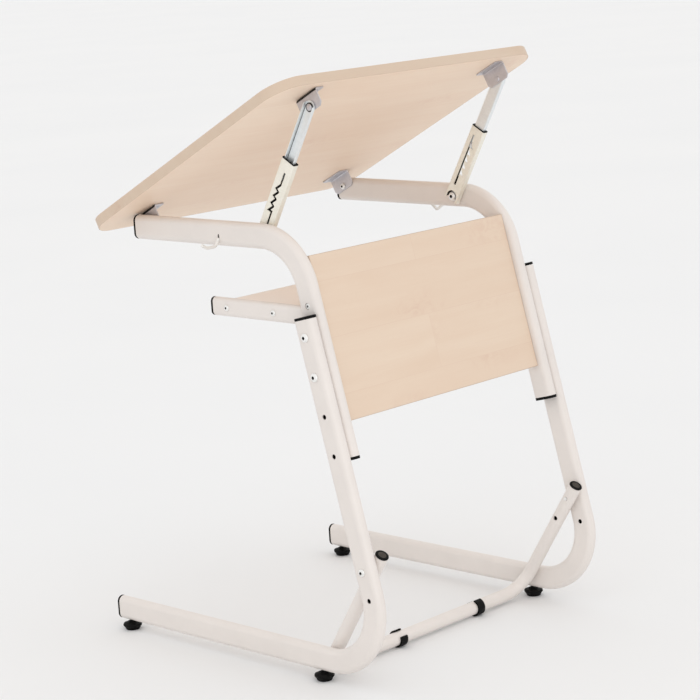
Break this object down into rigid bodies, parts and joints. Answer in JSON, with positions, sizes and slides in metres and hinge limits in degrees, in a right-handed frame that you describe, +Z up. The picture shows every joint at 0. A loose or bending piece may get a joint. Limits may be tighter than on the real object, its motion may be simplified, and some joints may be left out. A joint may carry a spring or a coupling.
{
  "type": "tilt-top drawing desk",
  "caption": "Height-adjustable student drawing desk with a tilting rounded top on ratchet struts, a shelf, a back panel and a swing-down footrest.",
  "frame": {"origin": "on the floor, in the middle of the desk's outline", "axes": "+Z up, +Y away from the seated student towards the desk's back, +X the student's right hand"},
  "size_m": [0.6, 0.6222, 0.9456],
  "materials": {
    "frame_paint": "satin powder coat, warm off-white, slight orange peel",
    "maple": "pale maple-look board, matt, with a slightly darker edge band",
    "black_plastic": "moulded black polyethylene, semi-matt",
    "zinc_plate": "dull zinc plate",
    "bright_zinc": "bright zinc plate",
    "cream_zinc": "pale yellow passivated zinc plate",
    "white_enamel": "glossy white coating"
  },
  "bodies": {
    "base": {"lower_frame_right": "frame_paint", "foot_plug_right": "black_plastic", "lower_leg_plug_right": "black_plastic", "leg_bolt_upper_right": "zinc_plate", "leg_bolt_lower_right": "zinc_plate", "footrest_bolt_right": "zinc_plate", "lower_frame_left": "frame_paint", "foot_plug_left": "black_plastic", "lower_leg_plug_left": "black_plastic", "leg_bolt_upper_left": "zinc_plate", "leg_bolt_lower_left": "zinc_plate", "footrest_bolt_left": "zinc_plate"},
    "upper": {"upper_frame_right": "frame_paint", "shelf_tube_right": "frame_paint", "arm_plug_right": "black_plastic", "upper_leg_plug_right": "black_plastic", "shelf_plug_right": "black_plastic", "shelf_screw_front_right": "zinc_plate", "shelf_screw_rear_right": "zinc_plate", "panel_screw_right": "zinc_plate", "bag_hook_right": "white_enamel", "hinge_screw_right": "zinc_plate", "strut_bolt_right": "bright_zinc", "upper_frame_left": "frame_paint", "shelf_tube_left": "frame_paint", "arm_plug_left": "black_plastic", "upper_leg_plug_left": "black_plastic", "shelf_plug_left": "black_plastic", "shelf_screw_front_left": "zinc_plate", "shelf_screw_rear_left": "zinc_plate", "panel_screw_left": "zinc_plate", "bag_hook_left": "white_enamel", "hinge_screw_left": "zinc_plate", "strut_bolt_left": "bright_zinc", "shelf_board": "maple", "back_panel": "maple"},
    "desktop": {"desktop": "maple", "hinge_bracket_right": "zinc_plate", "strut_bracket_right": "zinc_plate", "hinge_bracket_left": "zinc_plate", "strut_bracket_left": "zinc_plate"},
    "footrest": {"footrest_bar": "frame_paint", "footrest_plug_right": "black_plastic", "footrest_clip_right": "black_plastic", "footrest_plug_left": "black_plastic", "footrest_clip_left": "black_plastic"},
    "sleeve_right": {"strut_sleeve_right": "cream_zinc", "strut_guide_right": "black_plastic"},
    "slider_right": {"strut_slider_right": "bright_zinc", "ratchet_pin_right": "zinc_plate", "strut_rivet_right": "zinc_plate"},
    "leveller_front_right": {"levelling_foot_front_right": "black_plastic"},
    "leveller_rear_right": {"levelling_foot_rear_right": "black_plastic"},
    "sleeve_left": {"strut_sleeve_left": "cream_zinc", "strut_guide_left": "black_plastic"},
    "slider_left": {"strut_slider_left": "bright_zinc", "ratchet_pin_left": "zinc_plate", "strut_rivet_left": "zinc_plate"},
    "leveller_front_left": {"levelling_foot_front_left": "black_plastic"},
    "leveller_rear_left": {"levelling_foot_rear_left": "black_plastic"}
  },
  "joints": [
    {"name": "height_slide", "type": "slide", "parent": "base", "child": "upper", "axis": [0, -0.2419, 0.9703], "range_m": [-0.12367, 0]},
    {"name": "desktop_tilt", "type": "hinge", "parent": "upper", "child": "desktop", "pos_m": [0, -0.19391, 0.702], "axis": [1, 0, 0], "range_deg": [-27, 0]},
    {"name": "footrest_swing", "type": "hinge", "parent": "base", "child": "footrest", "pos_m": [0, 0.27865, 0.19416], "axis": [1, 0, 0], "range_deg": [-55, 0]},
    {"name": "sleeve_swing_right", "type": "hinge", "parent": "upper", "child": "sleeve_right", "pos_m": [0.2219, 0.06909, 0.696], "axis": [1, 0, 0], "range_deg": [-58, 0]},
    {"name": "slider_travel_right", "type": "slide", "parent": "sleeve_right", "child": "slider_right", "axis": [0, 0.5006, 0.8657], "range_m": [-0.0695, 0]},
    {"name": "leveller_screw_front_right", "type": "slide", "parent": "base", "child": "leveller_front_right", "axis": [0, 0, 1], "range_m": [-0.012, 0.001]},
    {"name": "leveller_screw_rear_right", "type": "slide", "parent": "base", "child": "leveller_rear_right", "axis": [0, 0, 1], "range_m": [-0.012, 0.001]},
    {"name": "sleeve_swing_left", "type": "hinge", "parent": "upper", "child": "sleeve_left", "pos_m": [-0.2219, 0.06909, 0.696], "axis": [1, 0, 0], "range_deg": [-58, 0]},
    {"name": "slider_travel_left", "type": "slide", "parent": "sleeve_left", "child": "slider_left", "axis": [0, 0.5006, 0.8657], "range_m": [-0.0695, 0]},
    {"name": "leveller_screw_front_left", "type": "slide", "parent": "base", "child": "leveller_front_left", "axis": [0, 0, 1], "range_m": [-0.012, 0.001]},
    {"name": "leveller_screw_rear_left", "type": "slide", "parent": "base", "child": "leveller_rear_left", "axis": [0, 0, 1], "range_m": [-0.012, 0.001]}
  ],
  "couplings": [
    {"joint": "sleeve_swing_right", "follows": "desktop_tilt", "ratio": 2.1417},
    {"joint": "slider_travel_right", "follows": "desktop_tilt", "m_per_rad": 0.14468},
    {"joint": "sleeve_swing_left", "follows": "desktop_tilt", "ratio": 2.1417},
    {"joint": "slider_travel_left", "follows": "desktop_tilt", "m_per_rad": 0.14468}
  ]
}
